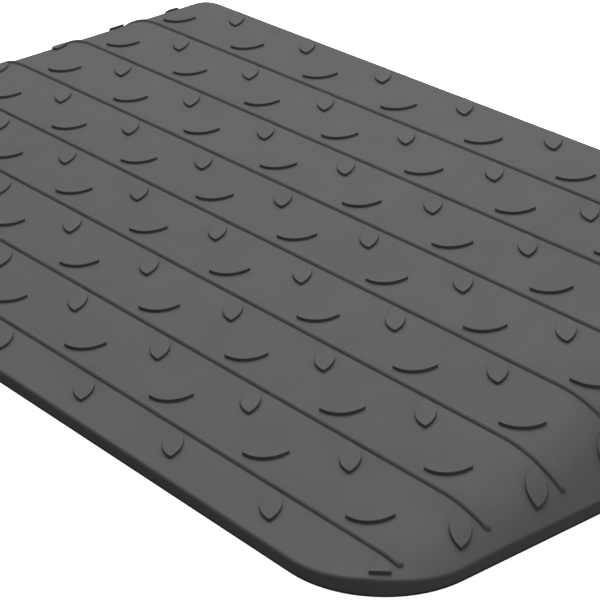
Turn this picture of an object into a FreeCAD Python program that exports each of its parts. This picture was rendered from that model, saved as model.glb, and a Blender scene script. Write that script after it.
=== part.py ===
import FreeCAD, Part
import math
import os

# Threshold ramp moulded in rubber: a wedge that lets a wheel roll up to a raised door sill.
# Millimetres.  X runs across the ramp, Y runs up the slope to the sill, Z is up.
# The origin is on the floor, under the middle of the ramp.

os.makedirs("parts", exist_ok=True)
Vec = FreeCAD.Vector

# ---- body -------------------------------------------------------------------------------
WIDTH = 893.0               # side to side, at the lip
SLOPE_ANGLE = 8.4           # degrees, the surface that a wheel rolls on
SLOPE_LENGTH = 494.6        # lip to back edge, measured on the slope
LIP_HEIGHT = 10.1           # upright edge along the front and the sides
CORNER_RADIUS = 72.0        # front corners, in plan
FLANK_ANGLE = 35.6          # degrees, the side flares
SHOULDER_RADIUS = 90.0      # where the slope rolls over into a flare
LIP_ROUND = 2.5             # top edge of the lip
BACK_ROUND = 1.0            # top edge of the back face

# ---- raised tread -----------------------------------------------------------------------
PITCH_ACROSS = 100.0        # pads of one kind, side by side
PITCH_UP = 65.0             # rows, measured on the slope
RIB_COUNT = 7
RIB_FIRST = 41.3            # slope distance from the lip to the lowest rib
RIB_WIDTH = 4.6             # at its foot
RIB_RISE = 2.0
RIB_END_GAP = 14.0          # from the centre of a rib's round end to the outline
PAD_LENGTH = 30.4           # tip to tip
PAD_WIDTH = 13.6
PAD_RISE = 2.2
PAD_TURN = 43.0             # degrees between a pad and the ribs
PAD_EDGE_GAP = 5.0          # pads are cut back to this distance from the outline
PAD_COLUMNS = 9
LEFT_PADS_X = -374.3        # first column of the pads whose upper tip leans left
LEFT_PADS_FIRST = 25.5      # slope distance from the lip to their lowest row
RIGHT_PADS_X = -420.4       # first column of the pads whose upper tip leans right
RIGHT_PADS_FIRST = 59.3

# ---- underside --------------------------------------------------------------------------
SKIN = 8.0                  # thickness under the slope and the flares
WEB = 8.0                   # upright webs between the cells
CELL_COLUMNS = 10
CELL_ROWS = 6
CELL_SIDE_MARGIN = 24.0     # solid rim at the sides
CELL_FRONT_MARGIN = 46.0    # solid nose
CELL_BACK_MARGIN = 11.0     # back wall
CELL_CORNER = 6.0           # upright corner radius of a cell

# ---- worked out from the above ----------------------------------------------------------
TILT = math.radians(SLOPE_ANGLE)
FLANK = math.radians(FLANK_ANGLE)
HALF = WIDTH / 2
DEPTH = SLOPE_LENGTH * math.cos(TILT)
HEIGHT = LIP_HEIGHT + SLOPE_LENGTH * math.sin(TILT)
FRONT = -DEPTH / 2
BACK = DEPTH / 2
REACH = 150.0               # how far the uncut wedge runs past the outline
BELOW = -80.0               # its underside, well below the floor
ABOVE = HEIGHT + 40.0


def slope_y(distance):
    """Plan position of a point at this distance up the slope from the lip."""
    return FRONT + distance * math.cos(TILT)


def wedge(grow):
    """Slope and both flares, without ends: every top face moved out by grow."""
    front = FRONT - REACH
    back = BACK + REACH
    lift = LIP_HEIGHT + grow / math.cos(TILT)
    z_front = lift - REACH * math.tan(TILT)
    z_back = lift + (DEPTH + REACH) * math.tan(TILT)
    side = Part.makePolygon([
        Vec(-HALF - REACH, front, BELOW),
        Vec(-HALF - REACH, back, BELOW),
        Vec(-HALF - REACH, back, z_back),
        Vec(-HALF - REACH, front, z_front),
        Vec(-HALF - REACH, front, BELOW),
    ])
    block = Part.Face(side).extrude(Vec(WIDTH + 2 * REACH, 0, 0))
    foot = HALF + (LIP_HEIGHT - BELOW + grow / math.cos(FLANK)) / math.tan(FLANK)
    peak = foot * math.tan(FLANK) + BELOW
    roof = Part.makePolygon([
        Vec(-foot, front, BELOW),
        Vec(foot, front, BELOW),
        Vec(0, front, peak),
        Vec(-foot, front, BELOW),
    ])
    block = block.common(Part.Face(roof).extrude(Vec(0, back - front, 0)))
    ridges = [e for e in block.Edges if is_ridge(e, front, back)]
    return block.makeFillet(SHOULDER_RADIUS + grow, ridges)


def is_ridge(edge, front, back):
    """An edge between the slope and a flare: it runs the whole depth and climbs."""
    ends = [v.Point for v in edge.Vertexes]
    run = abs(ends[0].y - ends[1].y)
    climb = abs(ends[0].z - ends[1].z)
    return abs(run - (back - front)) < 0.01 and climb > 1.0


def outline(inset, low, high):
    """Upright prism on the plan outline, with round front corners."""
    half = HALF - inset
    front = FRONT + inset
    back = BACK
    r = CORNER_RADIUS - inset
    k = r * (1 - math.sqrt(0.5))
    edges = [
        Part.LineSegment(Vec(-half + r, front, low), Vec(half - r, front, low)).toShape(),
        Part.Arc(Vec(half - r, front, low), Vec(half - k, front + k, low),
                 Vec(half, front + r, low)).toShape(),
        Part.LineSegment(Vec(half, front + r, low), Vec(half, back, low)).toShape(),
        Part.LineSegment(Vec(half, back, low), Vec(-half, back, low)).toShape(),
        Part.LineSegment(Vec(-half, back, low), Vec(-half, front + r, low)).toShape(),
        Part.Arc(Vec(-half, front + r, low), Vec(-half + k, front + k, low),
                 Vec(-half + r, front, low)).toShape(),
    ]
    return Part.Face(Part.Wire(edges)).extrude(Vec(0, 0, high - low))


def cells():
    """The open cells under the ramp, as upright boxes with round corners."""
    left = -HALF + CELL_SIDE_MARGIN
    front = FRONT + CELL_FRONT_MARGIN
    pitch_x = (WIDTH - 2 * CELL_SIDE_MARGIN + WEB) / CELL_COLUMNS
    pitch_y = (DEPTH - CELL_FRONT_MARGIN - CELL_BACK_MARGIN + WEB) / CELL_ROWS
    boxes = []
    for column in range(CELL_COLUMNS):
        for row in range(CELL_ROWS):
            corner = Vec(left + column * pitch_x, front + row * pitch_y, -1)
            box = Part.makeBox(pitch_x - WEB, pitch_y - WEB, ABOVE, corner)
            upright = [e for e in box.Edges if abs(e.Vertexes[0].Z - e.Vertexes[-1].Z) > 1]
            boxes.append(box.makeFillet(CELL_CORNER, upright))
    return Part.makeCompound(boxes)


def top_rim(shape, at_back):
    """Edges round the top of the lip, or along the top of the back face."""
    probe = outline(0.05, -1, ABOVE)
    rim = []
    for edge in shape.Edges:
        middle = edge.valueAt((edge.FirstParameter + edge.LastParameter) / 2)
        on_back = all(abs(v.Y - BACK) < 0.01 for v in edge.Vertexes)
        lifted = all(v.Z > 1.0 for v in edge.Vertexes)
        upright = abs(edge.Vertexes[0].Z - edge.Vertexes[-1].Z) > 1.0 and edge.Length < 20
        if not lifted or upright or on_back != at_back:
            continue
        if at_back or not probe.isInside(middle, 1e-4, True):
            rim.append(edge)
    return rim


def ramp_body(skin_top):
    """The wedge inside its outline, with rounded rims and the cells cut out below."""
    body = skin_top.common(outline(0, 0, ABOVE))
    body = body.makeFillet(LIP_ROUND, top_rim(body, False))
    body = body.makeFillet(BACK_ROUND, top_rim(body, True))
    hollow = cells().common(wedge(-SKIN))
    return body.cut(hollow)


def pad_prism(x, y, turn):
    """Upright prism on a leaf shape: two arcs that meet in two points."""
    half = PAD_LENGTH / 2
    side = PAD_WIDTH / 2
    arcs = [
        Part.Arc(Vec(-half, 0, BELOW), Vec(0, side, BELOW), Vec(half, 0, BELOW)).toShape(),
        Part.Arc(Vec(half, 0, BELOW), Vec(0, -side, BELOW), Vec(-half, 0, BELOW)).toShape(),
    ]
    leaf = Part.Face(Part.Wire(arcs)).extrude(Vec(0, 0, ABOVE - BELOW))
    leaf.rotate(Vec(0, 0, 0), Vec(0, 0, 1), turn)
    leaf.translate(Vec(x, y, 0))
    return leaf


def pad_row(first_x, distance, turn, skin_top, pad_top, field):
    """One row of pads at this distance up the slope, cut back to the field."""
    pads = []
    for column in range(PAD_COLUMNS):
        prism = pad_prism(first_x + column * PITCH_ACROSS, slope_y(distance), turn)
        pad = prism.common(field).common(pad_top).cut(skin_top)
        pads.extend(pad.Solids)
    return Part.makeCompound(pads)


def rib_slot(end, y):
    """Upright prism on a rib's plan shape, a strip with round ends."""
    half = RIB_WIDTH / 2 + 0.2
    edges = [
        Part.LineSegment(Vec(-end, y - half, BELOW), Vec(end, y - half, BELOW)).toShape(),
        Part.Arc(Vec(end, y - half, BELOW), Vec(end + half, y, BELOW),
                 Vec(end, y + half, BELOW)).toShape(),
        Part.LineSegment(Vec(end, y + half, BELOW), Vec(-end, y + half, BELOW)).toShape(),
        Part.Arc(Vec(-end, y + half, BELOW), Vec(-end - half, y, BELOW),
                 Vec(-end, y - half, BELOW)).toShape(),
    ]
    return Part.Face(Part.Wire(edges)).extrude(Vec(0, 0, ABOVE - BELOW))


def rib(distance, skin_top):
    """Round bead that follows the slope and both flares, with round ends."""
    radius = (RIB_WIDTH ** 2 / 4 + RIB_RISE ** 2) / (2 * RIB_RISE)
    y = slope_y(distance)
    in_corner = max(0.0, CORNER_RADIUS - (y - FRONT))
    cut_in = CORNER_RADIUS - math.sqrt(CORNER_RADIUS ** 2 - in_corner ** 2)
    end = HALF - cut_in - RIB_END_GAP
    reach = end + RIB_WIDTH
    sheet = Part.makePlane(2 * reach, ABOVE, Vec(-reach, y, 0), Vec(0, -1, 0), Vec(1, 0, 0))
    line = sheet.common(wedge(RIB_RISE - radius))
    on_top = [e for e in line.Edges if is_path(e)]
    path = Part.Wire(Part.__sortEdges__(on_top))
    first = path.OrderedEdges[0]
    start = path.OrderedVertexes[0].Point
    ring = Part.Wire(Part.makeCircle(radius, start, first.tangentAt(first.FirstParameter)))
    tube = path.makePipeShell([ring], True, False)
    return tube.common(rib_slot(end, y)).cut(skin_top)


def is_path(edge):
    """The upper edges of a rib's section through the ramp."""
    ends = [v.Point for v in edge.Vertexes]
    upright = abs(ends[0].x - ends[1].x) < 0.001
    return min(p.z for p in ends) > 1.0 and not upright


def save(shape, name):
    print(name, "solids", len(shape.Solids), "valid", shape.isValid(),
          "cm3 %.2f" % (sum(s.Volume for s in shape.Solids) / 1000))
    shape.exportStep("parts/" + name + ".step")


skin_top = wedge(0)
save(ramp_body(skin_top), "ramp_body")

for index in range(RIB_COUNT):
    bead = rib(RIB_FIRST + index * PITCH_UP, skin_top)
    save(bead, "tread_rib_%d" % (index + 1))

pad_top = wedge(PAD_RISE)
field = outline(PAD_EDGE_GAP, BELOW, ABOVE)
for index in range(RIB_COUNT + 1):
    distance = LEFT_PADS_FIRST + index * PITCH_UP
    row = pad_row(LEFT_PADS_X, distance, 180 - PAD_TURN, skin_top, pad_top, field)
    save(row, "left_leaning_pads_row_%d" % (index + 1))

for index in range(RIB_COUNT):
    distance = RIGHT_PADS_FIRST + index * PITCH_UP
    row = pad_row(RIGHT_PADS_X, distance, PAD_TURN, skin_top, pad_top, field)
    save(row, "right_leaning_pads_row_%d" % (index + 1))
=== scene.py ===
import math

import bmesh
import bpy
import numpy as np
from mathutils import Matrix, Vector
from mathutils.geometry import tessellate_polygon


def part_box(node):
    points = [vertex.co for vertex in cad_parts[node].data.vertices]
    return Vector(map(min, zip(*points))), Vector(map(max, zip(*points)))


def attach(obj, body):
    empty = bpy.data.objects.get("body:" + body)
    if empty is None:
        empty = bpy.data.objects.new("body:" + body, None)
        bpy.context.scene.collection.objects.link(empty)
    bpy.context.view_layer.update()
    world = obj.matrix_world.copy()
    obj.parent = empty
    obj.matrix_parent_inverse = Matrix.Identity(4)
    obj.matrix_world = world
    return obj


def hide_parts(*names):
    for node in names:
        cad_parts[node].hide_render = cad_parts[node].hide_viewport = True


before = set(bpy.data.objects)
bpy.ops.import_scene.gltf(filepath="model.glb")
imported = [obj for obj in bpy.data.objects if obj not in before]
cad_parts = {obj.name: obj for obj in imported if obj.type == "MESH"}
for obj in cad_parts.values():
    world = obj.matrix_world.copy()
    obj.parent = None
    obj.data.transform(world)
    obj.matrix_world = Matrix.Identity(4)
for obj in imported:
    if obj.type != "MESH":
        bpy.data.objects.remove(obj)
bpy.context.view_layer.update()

# Everything is in metres, in the CAD frame: X across the ramp, Y up the slope, Z up.

MM = 0.001
QUARTER = math.radians(90)
SAME_PLACE = 1e-6                    # points nearer than this are one point

# ---- the ramp's own sizes, as the CAD body has them -------------------------------------
body_low, body_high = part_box("ramp_body")
HALF = body_high.x
FRONT = body_low.y
BACK = body_high.y
TILT = math.radians(8.4)             # slope
FLANK = math.radians(35.6)           # side flares
LIP = 10.1 * MM                      # upright edge
CORNER = 72.0 * MM                   # front corners, in plan
SHOULDER = 90.0 * MM                 # slope rolling over into a flare
LIP_ROUND = 2.5 * MM
BACK_ROUND = 1.0 * MM
FOOT_ROUND = 1.2 * MM                # lower edge of the lip

RIB_HALF_WIDTH = 2.3 * MM
RIB_RISE = 2.0 * MM
RIB_END_GAP = 14.0 * MM              # from the centre of a rib's round end to the outline
RIB_FIRST = 41.3 * MM                # up the slope
RIB_COUNT = 7
RIB_FILLET = 0.5 * MM
PITCH_UP = 65.0 * MM

PAD_LENGTH = 30.4 * MM
PAD_WIDTH = 13.6 * MM
PAD_RISE = 2.2 * MM
PAD_TURN = math.radians(43)
PAD_EDGE_GAP = 5.0 * MM              # from a cut pad to the outline
PAD_COLUMNS = 9
PAD_FILLET = 0.3 * MM
PAD_CREST = 0.35 * MM                # rounding of a pad's top edge
PAD_RADIUS = (PAD_LENGTH ** 2 + PAD_WIDTH ** 2) / (4 * PAD_WIDTH)
PAD_ARC_DEPTH = PAD_RADIUS - PAD_WIDTH / 2
PITCH_ACROSS = 100.0 * MM
LEFT_PADS = (-374.3 * MM, 25.5 * MM)      # first column, first row up the slope
RIGHT_PADS = (-420.4 * MM, 59.3 * MM)

SKIN = 8.0 * MM
WEB = 8.0 * MM
CELL_COLUMNS = 10
CELL_ROWS = 6
CELL_SIDE_MARGIN = 24.0 * MM
CELL_FRONT_MARGIN = 46.0 * MM
CELL_BACK_MARGIN = 11.0 * MM
CELL_CORNER = 6.0 * MM
CELL_MOUTH_ROUND = 0.8 * MM
CELL_ROOF_ROUND = 3.0 * MM
CELL_DRAFT = math.tan(math.radians(1.0))
CELL_WALL_INSET = 0.3 * MM           # where the height of a drafted wall is read

SINK = 0.15 * MM                     # how far a rib's or pad's foot goes into the body

# ---- how finely the meshes are divided --------------------------------------------------
BODY_COLUMNS = 180
BODY_CORNER_STEPS = 18
BODY_STRAIGHT_STEPS = 84
EDGE_STEPS = 6
EDGE_SUPPORT = 0.6 * MM              # a close row of faces beside each rounded edge
LIP_SHARES = (0.06, 0.3, 0.6, 0.9)   # rings down the upright face

CELL_CORNER_STEPS = 5
CELL_SPACING = 9.0 * MM
CELL_MOUTH_STEPS = 3
CELL_WALL_SHARES = (0.08, 0.5, 0.92, 1.0)
CELL_ROOF_STEPS = 4
CELL_ROOF_SHARES = (0.96, 0.8, 0.6, 0.4, 0.2)

RIB_STATION = 3.5 * MM
RIB_END_STEPS = 12
RIB_ARC_STEPS = 8
RIB_ARC_SHARE = 0.93                 # of the bead's arc. The fillet takes the rest.
RIB_FILLET_MIDDLE = (0.45, 0.12)     # out and up, as shares of the fillet

PAD_ARC_STEPS = 14
PAD_FILLET_STEPS = 3
PAD_CREST_STEPS = 4
PAD_TOP_INSETS = (PAD_CREST + 0.3 * MM, 2.0 * MM, 4.0 * MM)

# ---- the rubber -------------------------------------------------------------------------
RUBBER_GREY = 0.115
RUBBER_IOR = 1.5
RUBBER_SPECULAR = 0.28
ROUGHNESS = (0.62, 0.72)

CLOUD = (7.0, 4.0, 0.55)             # noise: scale, detail, roughness
SPECKLE = (900.0, 3.0, 0.6)
GRAIN = (1500.0, 2.0, 0.5)
SMOOTHNESS = (30.0, 3.0, 0.5)
NOISE_RANGE = (0.3, 0.7)             # the values that such noise mostly takes

CLOUD_TONE = (0.965, 1.035)
SPECKLE_TONE = (0.94, 1.06)
POINTINESS_RANGE = (0.44, 0.56)      # from a hollow to an edge
# hollows darker as painted shade; edges lighter from wear and a painted highlight
EDGE_WEAR_AND_HOLLOW_SHADE = (0.97, 1.03)
CREVICE_REACH = 6.0 * MM             # how far painted shade reaches beside a pad or a rib
CREVICE_RANGE = (0.5, 1.0)
CREVICE_SAMPLES = 8
CREVICE_TONE = 0.80
FOOT_SHADE_HEIGHT = 3.0 * MM                # height of the painted shade line where the lip meets the floor
FOOT_SHADE_TONE = 0.3
FACING_DOWN = (-0.99, -0.9)          # Z of the normal where there is no such line
GRAIN_STRENGTH = 0.35
GRAIN_DEPTH = 0.06 * MM

# ---- floor, light and viewpoint ---------------------------------------------------------
STUDIO_REACH = 30.0                  # distance and height of the wall
FLOOR_GAP = 0.05 * MM                # from the floor up to the ramp
FLOOR_UNDERLAP = 3.0 * MM            # floor under the rim. The rest of the footprint is open.
FLOOR_CORNER_STEPS = 16
FLOOR_GREY = 0.9
FLOOR_ROUGHNESS = 0.9
FLOOR_SPECULAR = 0.1
FLOOR_GLOW = 1.0

LAMPS = {                            # direction from the ramp, distance, size, watts
    "key": ((-0.30, 0.29, 1.0), 2.6, 3.2, 87.5),
    "side_fill": ((1.0, -0.15, 0.3), 4.0, 2.2, 12.0),
    "under": ((0.0, 0.0, -1.0), 1.2, 0.4, 9.0),
}
GROUND_SKY = 0.21
HORIZON_SKY = 0.22
TOP_SKY = 0.04
GROUND_BAND = (-0.1, 0.0)            # from ground to horizon, by the Z of the direction
TOP_BAND = (0.1, 0.55)               # from horizon to top

CAMERA_PLACE = (1.1980, -0.9270, 0.6911)
CAMERA_AZIMUTH = 50.045              # degrees, 0 looks along +Y
CAMERA_ELEVATION = 25.548
CAMERA_ROLL = 0.016
CAMERA_LENS = 127.90
CAMERA_SENSOR = 36.0
CAMERA_CLIP = (0.05, 100.0)

# ---- the top surface --------------------------------------------------------------------
SLOPE_NORMAL = np.array([0.0, -math.sin(TILT), math.cos(TILT)])
FLANK_NORMAL = np.array([math.sin(FLANK), 0.0, math.cos(FLANK)])
RIDGE = np.cross(SLOPE_NORMAL, FLANK_NORMAL)
RIDGE /= np.linalg.norm(RIDGE)


def slope_height(y, grow):
    return LIP + (y - FRONT) * math.tan(TILT) + grow / math.cos(TILT)


def flank_height(x, grow):
    return LIP + (HALF - x) * math.tan(FLANK) + grow / math.cos(FLANK)


def top(x, y, grow=0.0):
    """Height of the top surface, moved out along its normal by grow."""
    x = np.abs(np.asarray(x, float))
    y = np.asarray(y, float)
    x, y, grow = np.broadcast_arrays(x, y, np.asarray(grow, float))
    slope = slope_height(y, grow)
    flank = flank_height(x, grow)
    # a point on the shoulder cylinder's axis, in the plane y = FRONT
    axis_z = slope_height(FRONT, -SHOULDER)
    axis_x = HALF - (axis_z - LIP + SHOULDER / math.cos(FLANK)) / math.tan(FLANK)
    start = np.stack([x - axis_x, y - FRONT, np.zeros_like(x)], -1)
    up = np.array([0.0, 0.0, 1.0])
    # where an upright line through the point leaves that cylinder, if it meets it
    across = start - (start @ RIDGE)[..., None] * RIDGE
    rise = up - RIDGE[2] * RIDGE
    a = rise @ rise
    b = across @ rise
    c = (across * across).sum(-1) - (SHOULDER + grow) ** 2
    inside = b * b - a * c
    root = (-b + np.sqrt(np.maximum(inside, 0))) / a
    arm = across + root[..., None] * rise
    past_slope = np.cross(np.broadcast_to(SLOPE_NORMAL, arm.shape), arm) @ RIDGE > 0
    before_flank = np.cross(arm, np.broadcast_to(FLANK_NORMAL, arm.shape)) @ RIDGE > 0
    round_part = (inside > 0) & past_slope & before_flank
    return np.where(round_part, axis_z + root, np.minimum(slope, flank))


# ---- mesh helpers -----------------------------------------------------------------------
def ring_faces(first, second, count, closed=True):
    """Quads between two rings of vertices that start at these indices."""
    steps = count if closed else count - 1
    faces = []
    for i in range(steps):
        j = (i + 1) % count
        faces.append((first + i, first + j, second + j, second + i))
    return faces


def add_fan(points, faces, first, count, middle, grow):
    """Triangles from a ring to a new point at middle, on the top surface moved by grow."""
    peak = len(points)
    points.append((middle[0], middle[1], float(top(middle[0], middle[1], grow))))
    for i in range(count):
        faces.append((first + i, first + (i + 1) % count, peak))


def make_piece(name, points, faces, material, node, merge=0.0):
    """A smooth mesh that stands for one CAD node."""
    mesh = bpy.data.meshes.new(name)
    mesh.from_pydata([tuple(p) for p in points], [], faces)
    work = bmesh.new()
    work.from_mesh(mesh)
    if merge:
        bmesh.ops.remove_doubles(work, verts=work.verts, dist=merge)
    bmesh.ops.recalc_face_normals(work, faces=work.faces)
    for face in work.faces:
        face.smooth = True
    work.to_mesh(mesh)
    work.free()
    mesh.materials.append(material)
    piece = bpy.data.objects.new(name, mesh)
    bpy.context.scene.collection.objects.link(piece)
    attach(piece, "root")
    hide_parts(node)


# ---- material ---------------------------------------------------------------------------
def rubber_material():
    """Matte dark rubber from a fine-grained mould, with painted shade in its crevices and
    hollows, and edges made lighter by wear and a painted highlight.
    """
    material = bpy.data.materials.new("moulded_rubber")
    material.use_nodes = True
    nodes = material.node_tree.nodes
    links = material.node_tree.links
    shader = nodes["Principled BSDF"]
    shader.inputs["IOR"].default_value = RUBBER_IOR
    shader.inputs["Specular IOR Level"].default_value = RUBBER_SPECULAR
    place = nodes.new("ShaderNodeTexCoord")

    def noise(scale, detail, roughness):
        node = nodes.new("ShaderNodeTexNoise")
        node.inputs["Scale"].default_value = scale
        node.inputs["Detail"].default_value = detail
        node.inputs["Roughness"].default_value = roughness
        links.new(place.outputs["Object"], node.inputs["Vector"])
        return node.outputs["Fac"]

    def spread(value, span_in, span_out):
        node = nodes.new("ShaderNodeMapRange")
        node.inputs["From Min"].default_value = span_in[0]
        node.inputs["From Max"].default_value = span_in[1]
        node.inputs["To Min"].default_value = span_out[0]
        node.inputs["To Max"].default_value = span_out[1]
        links.new(value, node.inputs["Value"])
        return node.outputs["Result"]

    def combine(kind, first, second):
        node = nodes.new("ShaderNodeMath")
        node.operation = kind
        links.new(first, node.inputs[0])
        links.new(second, node.inputs[1])
        return node.outputs["Value"]

    def upward_part(vector):
        node = nodes.new("ShaderNodeSeparateXYZ")
        links.new(vector, node.inputs["Vector"])
        return node.outputs["Z"]

    cloud = spread(noise(*CLOUD), NOISE_RANGE, CLOUD_TONE)
    fleck = spread(noise(*SPECKLE), NOISE_RANGE, SPECKLE_TONE)
    geometry = nodes.new("ShaderNodeNewGeometry")
    # painted shade darkens the hollows; edges are lighter from wear and a painted highlight
    edge_wear_and_hollow_shade = spread(geometry.outputs["Pointiness"], POINTINESS_RANGE, EDGE_WEAR_AND_HOLLOW_SHADE)

    # painted shade: darker where ambient occlusion finds walls nearby, as beside the pads and
    # ribs
    crevice = nodes.new("ShaderNodeAmbientOcclusion")
    crevice.samples = CREVICE_SAMPLES
    crevice.inputs["Distance"].default_value = CREVICE_REACH
    crevice_shade = spread(crevice.outputs["AO"], CREVICE_RANGE, (CREVICE_TONE, 1.0))

    # painted shade: a dark line along the foot of the lip, left off faces that look down
    height = upward_part(place.outputs["Object"])
    foot = spread(height, (FOOT_ROUND, FOOT_SHADE_HEIGHT), (FOOT_SHADE_TONE, 1.0))
    underside = spread(upward_part(place.outputs["Normal"]), FACING_DOWN, (1.0, 0.0))
    foot = combine("MAXIMUM", foot, underside)

    shade = combine("MULTIPLY", combine("MULTIPLY", cloud, fleck), edge_wear_and_hollow_shade)
    shade = combine("MULTIPLY", combine("MULTIPLY", shade, crevice_shade), foot)

    # the shade is about 1, and half of it mixes black with twice the rubber's grey
    half = nodes.new("ShaderNodeMath")
    half.operation = "MULTIPLY"
    half.inputs[1].default_value = 0.5
    links.new(shade, half.inputs[0])
    twice = 2 * RUBBER_GREY
    colour = nodes.new("ShaderNodeMix")
    colour.data_type = "RGBA"
    colour.inputs["A"].default_value = (0.0, 0.0, 0.0, 1.0)
    colour.inputs["B"].default_value = (twice, twice, twice, 1.0)
    links.new(half.outputs["Value"], colour.inputs["Factor"])
    links.new(colour.outputs["Result"], shader.inputs["Base Color"])

    links.new(spread(noise(*SMOOTHNESS), NOISE_RANGE, ROUGHNESS), shader.inputs["Roughness"])

    bump = nodes.new("ShaderNodeBump")
    bump.inputs["Strength"].default_value = GRAIN_STRENGTH
    bump.inputs["Distance"].default_value = GRAIN_DEPTH
    links.new(noise(*GRAIN), bump.inputs["Height"])
    links.new(bump.outputs["Normal"], shader.inputs["Normal"])
    return material


# ---- body -------------------------------------------------------------------------------
def body_rows():
    """(y, half width) of each row of the top grid, inside the lip's rounding."""
    inset = LIP_ROUND + EDGE_SUPPORT
    radius = CORNER - inset
    rows = []
    for step in range(BODY_CORNER_STEPS + 1):
        angle = QUARTER * step / BODY_CORNER_STEPS
        y = FRONT + CORNER - radius * math.cos(angle)
        rows.append((y, HALF - CORNER + radius * math.sin(angle)))
    last = BACK - BACK_ROUND - EDGE_SUPPORT
    for step in range(1, BODY_STRAIGHT_STEPS + 1):
        y = FRONT + CORNER + (last - FRONT - CORNER) * step / BODY_STRAIGHT_STEPS
        rows.append((y, HALF - inset))
    return rows


def top_grid():
    """Points and faces of the top grid, and its border anticlockwise from the front left."""
    points = []
    faces = []
    rows = body_rows()
    wide = BODY_COLUMNS + 1
    for y, half in rows:
        x = np.linspace(-half, half, wide)
        points.extend(zip(x, np.full(wide, y), top(x, y)))
    for row in range(len(rows) - 1):
        faces.extend(ring_faces(row * wide, (row + 1) * wide, wide, closed=False))
    last = len(rows) - 1
    border = list(range(wide))
    border += [row * wide + BODY_COLUMNS for row in range(1, last + 1)]
    border += [last * wide + i for i in range(BODY_COLUMNS - 1, -1, -1)]
    border += [row * wide for row in range(last - 1, 0, -1)]
    return points, faces, border


def rim_direction(x, y):
    """Plan offset from the top grid's border to the outline."""
    side = LIP_ROUND + EDGE_SUPPORT
    back = BACK_ROUND + EDGE_SUPPORT
    if y < FRONT + CORNER and abs(x) > HALF - CORNER:
        centre = Vector((math.copysign(HALF - CORNER, x), FRONT + CORNER))
        return (Vector((x, y)) - centre).normalized() * side
    if y < FRONT + CORNER and abs(x) <= HALF - CORNER + SAME_PLACE:
        return Vector((0.0, -side))
    out = math.copysign(side, x) if abs(x) > HALF - side - SAME_PLACE else 0.0
    return Vector((out, back if y > BACK - back - SAME_PLACE else 0.0))


def edge_rings(start):
    """(plan, heights) of each ring from the top grid's border down to the underside."""
    count = len(start)
    reach = np.array([rim_direction(x, y) for x, y in start])
    size = np.linalg.norm(reach, axis=1)
    radius = np.where(reach[:, 1] > 0, BACK_ROUND, LIP_ROUND)
    inward = -reach / size[:, None]
    round_reach = reach * (radius / (radius + EDGE_SUPPORT))[:, None]
    rim = start + reach
    edge_z = top(rim[:, 0], rim[:, 1])
    fall = np.arctan2(top(start[:, 0], start[:, 1]) - edge_z, size)
    rim_z = edge_z - radius * np.tan((QUARTER - fall) / 2)

    # the rounded top edge: an arc that touches both the top surface and the upright face
    arc_start = rim - round_reach * (1 - np.sin(fall))[:, None]
    plan = arc_start + inward * EDGE_SUPPORT / 2
    yield plan, top(plan[:, 0], plan[:, 1])
    for step in range(EDGE_STEPS + 1):
        angle = fall + (QUARTER - fall) * step / EDGE_STEPS
        plan = rim - round_reach * (1 - np.sin(angle))[:, None]
        yield plan, rim_z + radius * np.cos(angle)

    # the upright face and the rounded foot
    for share in LIP_SHARES:
        yield rim, rim_z + (FOOT_ROUND - rim_z) * share
    for step in range(EDGE_STEPS + 1):
        angle = QUARTER * step / EDGE_STEPS
        plan = rim + inward * FOOT_ROUND * (1 - math.cos(angle))
        yield plan, np.full(count, FOOT_ROUND * (1 - math.sin(angle)))
    yield rim + inward * (FOOT_ROUND + EDGE_SUPPORT), np.zeros(count)


def rounded_rectangle(x0, x1, y0, y1, radius, steps):
    """Plan points round a rectangle with round corners, anticlockwise."""
    centres = [(x1 - radius, y1 - radius), (x0 + radius, y1 - radius),
               (x0 + radius, y0 + radius), (x1 - radius, y0 + radius)]
    points = []
    for quarter, (cx, cy) in enumerate(centres):
        for step in range(steps + 1):
            angle = QUARTER * (quarter + step / steps)
            points.append((cx + radius * math.cos(angle), cy + radius * math.sin(angle)))
    return points


def along_sides(points, spacing):
    """Adds points on the long straight stretches of a closed outline."""
    filled = []
    for i, here in enumerate(points):
        there = points[(i + 1) % len(points)]
        count = max(1, round(math.dist(here, there) / spacing))
        for step in range(count):
            t = step / count
            filled.append((here[0] + (there[0] - here[0]) * t,
                           here[1] + (there[1] - here[1]) * t))
    return filled


def cell_boxes():
    """The mouth of each cell under the ramp, as x0, x1, y0, y1."""
    left = -HALF + CELL_SIDE_MARGIN
    front = FRONT + CELL_FRONT_MARGIN
    pitch_x = (2 * HALF - 2 * CELL_SIDE_MARGIN + WEB) / CELL_COLUMNS
    pitch_y = (BACK - FRONT - CELL_FRONT_MARGIN - CELL_BACK_MARGIN + WEB) / CELL_ROWS
    for column in range(CELL_COLUMNS):
        for row in range(CELL_ROWS):
            x0 = left + column * pitch_x
            y0 = front + row * pitch_y
            yield x0, x0 + pitch_x - WEB, y0, y0 + pitch_y - WEB


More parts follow.
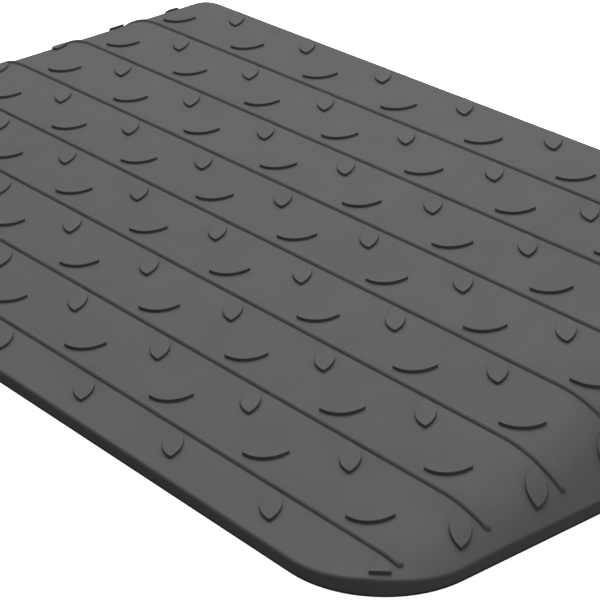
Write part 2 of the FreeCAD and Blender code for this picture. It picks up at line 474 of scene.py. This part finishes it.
def cell_rings(middle, half_size, outline):
    """Rings of points from a cell's mouth up its walls and in over its roof."""
    def placed(inset):
        """The outline shrunk by inset, keeping one point for each of its points."""
        return middle + (outline - middle) * (1 - inset / half_size)

    def roof(plan):
        return top(plan[:, 0], plan[:, 1], -SKIN)

    rings = []
    for step in range(CELL_MOUTH_STEPS + 1):
        angle = QUARTER * step / CELL_MOUTH_STEPS
        plan = placed(-CELL_MOUTH_ROUND * (1 - math.sin(angle)))
        z = CELL_MOUTH_ROUND * (1 - math.cos(angle))
        rings.append(np.column_stack([plan, np.full(len(plan), z)]))
    wall_top = roof(placed(CELL_WALL_INSET)) - CELL_ROOF_ROUND
    for share in CELL_WALL_SHARES:
        z = CELL_MOUTH_ROUND + (wall_top - CELL_MOUTH_ROUND) * share
        plan = placed(float(np.mean(z)) * CELL_DRAFT)
        rings.append(np.column_stack([plan, z]))
    draft = float(np.mean(wall_top)) * CELL_DRAFT
    for step in range(1, CELL_ROOF_STEPS + 1):
        angle = QUARTER * step / CELL_ROOF_STEPS
        plan = placed(draft + CELL_ROOF_ROUND * (1 - math.cos(angle)))
        z = roof(plan) - CELL_ROOF_ROUND * (1 - math.sin(angle))
        rings.append(np.column_stack([plan, z]))
    edge = placed(draft + CELL_ROOF_ROUND)
    for share in CELL_ROOF_SHARES:
        plan = middle + (edge - middle) * share
        rings.append(np.column_stack([plan, roof(plan)]))
    return rings


def add_cell(points, faces, x0, x1, y0, y1):
    """Adds a cell's walls and roof, and gives the indices of the points round its mouth."""
    middle = np.array([(x0 + x1) / 2, (y0 + y1) / 2])
    half_size = np.array([(x1 - x0) / 2, (y1 - y0) / 2])
    corners = rounded_rectangle(x0, x1, y0, y1, CELL_CORNER, CELL_CORNER_STEPS)
    outline = np.array(along_sides(corners, CELL_SPACING))
    count = len(outline)
    mouth = len(points)
    rings = cell_rings(middle, half_size, outline)
    for ring in rings:
        points.extend(map(tuple, ring))
    for level in range(len(rings) - 1):
        low = mouth + level * count
        faces.extend(ring_faces(low, low + count, count))
    innermost = mouth + (len(rings) - 1) * count
    add_fan(points, faces, innermost, count, middle, -SKIN)
    return list(range(mouth, mouth + count))


def build_body(material):
    """The wedge: the top grid, the rounded lip round it, and an underside full of cells."""
    points, faces, border = top_grid()
    count = len(border)
    ring = border
    start = np.array([points[i][:2] for i in border])
    for plan, z in edge_rings(start):
        fresh = list(range(len(points), len(points) + count))
        points.extend(zip(plan[:, 0], plan[:, 1], z))
        for i in range(count):
            j = (i + 1) % count
            faces.append((ring[i], fresh[i], fresh[j], ring[j]))
        ring = fresh

    # the flat underside, with the cells' mouths cut out of it
    outlines = [ring]
    for box in cell_boxes():
        outlines.append(add_cell(points, faces, *box))
    loops = [[Vector(points[i]) for i in outline] for outline in outlines]
    flat = [i for outline in outlines for i in outline]
    for triangle in tessellate_polygon(loops):
        faces.append(tuple(flat[i] for i in triangle))
    make_piece("wedge_body", points, faces, material, "ramp_body")


# ---- ribs -------------------------------------------------------------------------------
def rib_profile():
    """(distance from the rib's middle line, height), from its foot to its crest."""
    radius = (RIB_HALF_WIDTH ** 2 + RIB_RISE ** 2) / (2 * RIB_RISE)
    out, up = RIB_FILLET_MIDDLE
    profile = [(RIB_HALF_WIDTH + RIB_FILLET, -SINK), (RIB_HALF_WIDTH + RIB_FILLET, 0.0),
               (RIB_HALF_WIDTH + RIB_FILLET * out, RIB_FILLET * up)]
    lowest = math.asin(RIB_HALF_WIDTH / radius) * RIB_ARC_SHARE
    for step in range(RIB_ARC_STEPS + 1):
        angle = lowest * (1 - step / RIB_ARC_STEPS)
        profile.append((radius * math.sin(angle), RIB_RISE - radius * (1 - math.cos(angle))))
    return profile


def build_rib(number, material):
    """A round bead across the slope and both flares, with half-round ends."""
    y = FRONT + (RIB_FIRST + (number - 1) * PITCH_UP) * math.cos(TILT)
    in_corner = max(0.0, CORNER - (y - FRONT))
    cut_in = CORNER - math.sqrt(CORNER ** 2 - in_corner ** 2)
    end = HALF - cut_in - RIB_END_GAP
    stations = np.linspace(-end, end, int(2 * end / RIB_STATION))
    turns = [2 * QUARTER * step / RIB_END_STEPS for step in range(1, RIB_END_STEPS)]

    def ring(distance):
        right = [(end + distance * math.sin(t), y - distance * math.cos(t)) for t in turns]
        left = [(-end - distance * math.sin(t), y + distance * math.cos(t)) for t in turns]
        lower = [(x, y - distance) for x in stations]
        upper = [(x, y + distance) for x in reversed(stations)]
        return np.array(lower + right + upper + left)

    points = []
    faces = []
    profile = rib_profile()
    for distance, height in profile + [(0.0, -SINK)]:
        plan = ring(distance)
        points.extend(zip(plan[:, 0], plan[:, 1], top(plan[:, 0], plan[:, 1], height)))
    count = len(plan)
    for level in range(len(profile) - 1):
        faces.extend(ring_faces(level * count, (level + 1) * count, count))
    sole = len(profile) * count
    faces.extend(ring_faces(sole, 0, count))
    make_piece("rib_%d" % number, points, faces, material, "tread_rib_%d" % number,
               merge=SAME_PLACE)


# ---- grip pads --------------------------------------------------------------------------
def arc(centre, start, end, steps):
    """Points from start to just short of end, round a circle's centre."""
    first = Vector(start) - Vector(centre)
    turn = first.angle_signed(Vector(end) - Vector(centre))
    points = []
    for step in range(steps):
        spoke = Matrix.Rotation(-turn * step / steps, 2) @ first
        points.append(Vector(centre) + spoke)
    return points


def circles_meet(first, first_radius, second, second_radius):
    """The two points where two circles cross."""
    between = second - first
    distance = between.length
    along = (distance ** 2 + first_radius ** 2 - second_radius ** 2) / (2 * distance)
    middle = first + between * (along / distance)
    off = between.orthogonal().normalized() * math.sqrt(first_radius ** 2 - along ** 2)
    return middle + off, middle - off


def leaf(centre, turn, inset):
    """Plan points round a pad. Two arcs meet at its tips, moved in by inset.

    Near a front corner a third arc, parallel with the ramp's outline, cuts it off.
    """
    radius = PAD_RADIUS - inset
    axis = Vector((math.cos(turn), math.sin(turn)))
    side = axis.orthogonal()
    reach = math.sqrt(radius ** 2 - PAD_ARC_DEPTH ** 2)
    hubs = (centre - side * PAD_ARC_DEPTH, centre + side * PAD_ARC_DEPTH)
    tips = (centre + axis * reach, centre - axis * reach)
    corner = Vector((math.copysign(HALF - CORNER, centre.x), FRONT + CORNER))
    limit = CORNER - PAD_EDGE_GAP - inset
    outward = [(tip - corner).length > limit and abs(tip.x) > abs(corner.x)
               and tip.y < corner.y for tip in tips]
    if not any(outward):
        return (arc(hubs[0], tips[0], tips[1], PAD_ARC_STEPS)
                + arc(hubs[1], tips[1], tips[0], PAD_ARC_STEPS))
    lost, kept = tips if outward[0] else tips[::-1]
    cuts = []
    for hub in hubs:
        meets = circles_meet(hub, radius, corner, limit)
        cuts.append(min(meets, key=lambda point: (point - lost).length))
    near, far = hubs if outward[0] else hubs[::-1]
    near_cut, far_cut = cuts if outward[0] else cuts[::-1]
    third = 2 * PAD_ARC_STEPS // 3
    rest = 2 * PAD_ARC_STEPS - 2 * third
    return (arc(near, near_cut, kept, third) + arc(far, kept, far_cut, third)
            + arc(corner, far_cut, near_cut, rest))


def pad_profile():
    """(inset, height) from a pad's foot over its wall to its flat top."""
    profile = [(-PAD_FILLET, -SINK), (-PAD_FILLET, 0.0)]
    for step in range(1, PAD_FILLET_STEPS + 1):
        angle = QUARTER * step / PAD_FILLET_STEPS
        profile.append((-PAD_FILLET * (1 - math.sin(angle)), PAD_FILLET * (1 - math.cos(angle))))
    for step in range(PAD_CREST_STEPS + 1):
        angle = QUARTER * step / PAD_CREST_STEPS
        profile.append((PAD_CREST * (1 - math.cos(angle)),
                        PAD_RISE - PAD_CREST * (1 - math.sin(angle))))
    return profile + [(inset, PAD_RISE) for inset in PAD_TOP_INSETS]


def build_pad_row(side, number, first_place, turn, material):
    """A row of pads across the ramp, all leaning to the same side."""
    first_x, first_distance = first_place
    y = FRONT + (first_distance + (number - 1) * PITCH_UP) * math.cos(TILT)
    points = []
    faces = []
    profile = pad_profile()
    count = 2 * PAD_ARC_STEPS
    for column in range(PAD_COLUMNS):
        centre = Vector((first_x + column * PITCH_ACROSS, y))
        base = len(points)
        for inset, height in profile:
            plan = np.array(leaf(centre, turn, inset))
            points.extend(zip(plan[:, 0], plan[:, 1], top(plan[:, 0], plan[:, 1], height)))
        for level in range(len(profile) - 1):
            low = base + level * count
            faces.extend(ring_faces(low, low + count, count))
        crest = base + (len(profile) - 1) * count
        for first, height in ((crest, PAD_RISE), (base, -SINK)):
            middle = np.array(points[first:first + count])[:, :2].mean(0)
            add_fan(points, faces, first, count, middle, height)
    make_piece("%s_pads_%d" % (side, number), points, faces, material,
               "%s_leaning_pads_row_%d" % (side, number))


# ---- stage, light, camera ---------------------------------------------------------------
def build_studio():
    """A pale floor inside a round wall. Neither of them lights the ramp.

    The floor is open under the ramp, so that the ramp's underside can be seen from below.
    """
    mesh = bpy.data.meshes.new("floor")
    side = HALF - FLOOR_UNDERLAP
    front = FRONT + FLOOR_UNDERLAP
    back = BACK - FLOOR_UNDERLAP
    plan = rounded_rectangle(-side, side, front, back + CORNER, CORNER, FLOOR_CORNER_STEPS)
    opening = [(x, min(y, back)) for x, y in plan]
    wall = [Vector(point).normalized() * STUDIO_REACH for point in opening]
    sides = len(opening)
    points = [(x, y, -FLOOR_GAP) for x, y in opening]
    points += [(x, y, z) for z in (-FLOOR_GAP, STUDIO_REACH) for x, y in wall]
    faces = ring_faces(0, sides, sides) + ring_faces(sides, 2 * sides, sides)
    mesh.from_pydata(points, [], faces)
    floor = bpy.data.objects.new("floor", mesh)
    bpy.context.scene.collection.objects.link(floor)
    material = bpy.data.materials.new("pale_floor")
    material.use_nodes = True
    shader = material.node_tree.nodes["Principled BSDF"]
    shader.inputs["Base Color"].default_value = (FLOOR_GREY, FLOOR_GREY, FLOOR_GREY, 1.0)
    shader.inputs["Roughness"].default_value = FLOOR_ROUGHNESS
    shader.inputs["Specular IOR Level"].default_value = FLOOR_SPECULAR
    shader.inputs["Emission Color"].default_value = (1.0, 1.0, 1.0, 1.0)
    shader.inputs["Emission Strength"].default_value = FLOOR_GLOW
    mesh.materials.append(material)
    floor.visible_diffuse = False
    floor.visible_glossy = False
    floor.visible_shadow = False


def area_light(name, direction, distance, size, power):
    """A square lamp that faces the ramp from this direction."""
    lamp = bpy.data.lights.new(name, "AREA")
    lamp.shape = "SQUARE"
    lamp.size = size
    lamp.energy = power
    holder = bpy.data.objects.new(name, lamp)
    bpy.context.scene.collection.objects.link(holder)
    toward = Vector(direction).normalized()
    holder.location = toward * distance
    holder.rotation_euler = toward.to_track_quat("Z", "Y").to_euler()


def build_sky():
    """White light from all round, strongest at the horizon and weakest from above."""
    world = bpy.data.worlds.new("studio")
    world.use_nodes = True
    nodes = world.node_tree.nodes
    links = world.node_tree.links
    background = nodes["Background"]
    background.inputs["Color"].default_value = (1.0, 1.0, 1.0, 1.0)
    place = nodes.new("ShaderNodeTexCoord")
    split = nodes.new("ShaderNodeSeparateXYZ")
    links.new(place.outputs["Generated"], split.inputs["Vector"])

    def by_height(band, at_low, at_high):
        node = nodes.new("ShaderNodeMapRange")
        node.interpolation_type = "SMOOTHSTEP"
        node.inputs["From Min"].default_value = band[0]
        node.inputs["From Max"].default_value = band[1]
        node.inputs["To Min"].default_value = at_low
        node.inputs["To Max"].default_value = at_high
        links.new(split.outputs["Z"], node.inputs["Value"])
        return node.outputs["Result"]

    strength = nodes.new("ShaderNodeMath")
    strength.operation = "ADD"
    links.new(by_height(TOP_BAND, HORIZON_SKY, TOP_SKY), strength.inputs[0])
    links.new(by_height(GROUND_BAND, GROUND_SKY - HORIZON_SKY, 0.0), strength.inputs[1])
    links.new(strength.outputs["Value"], background.inputs["Strength"])
    bpy.context.scene.world = world


def build_light():
    """A big lamp above, a little behind and to the left, a weak one at the right, and the sky.

    One more lamp, narrower than the ramp, lights its underside and nothing else.
    """
    for name, lamp in LAMPS.items():
        area_light(name, *lamp)
    build_sky()


def build_camera():
    data = bpy.data.cameras.new("camera")
    data.sensor_width = CAMERA_SENSOR
    data.lens = CAMERA_LENS
    data.clip_start, data.clip_end = CAMERA_CLIP
    camera = bpy.data.objects.new("camera", data)
    bpy.context.scene.collection.objects.link(camera)
    azimuth = math.radians(CAMERA_AZIMUTH)
    elevation = math.radians(CAMERA_ELEVATION)
    back = Vector((math.sin(azimuth) * math.cos(elevation),
                   -math.cos(azimuth) * math.cos(elevation), math.sin(elevation)))
    turn = (-back).to_track_quat("-Z", "Y").to_matrix()
    roll = Matrix.Rotation(math.radians(CAMERA_ROLL), 3, "Z")
    camera.matrix_world = Matrix.Translation(CAMERA_PLACE) @ (turn @ roll).to_4x4()
    bpy.context.scene.camera = camera


rubber = rubber_material()
build_body(rubber)
for number in range(1, RIB_COUNT + 1):
    build_rib(number, rubber)
for number in range(1, RIB_COUNT + 2):
    build_pad_row("left", number, LEFT_PADS, 2 * QUARTER - PAD_TURN, rubber)
for number in range(1, RIB_COUNT + 1):
    build_pad_row("right", number, RIGHT_PADS, PAD_TURN, rubber)
build_studio()
build_light()
build_camera()
bpy.context.scene.view_settings.view_transform = "Standard"
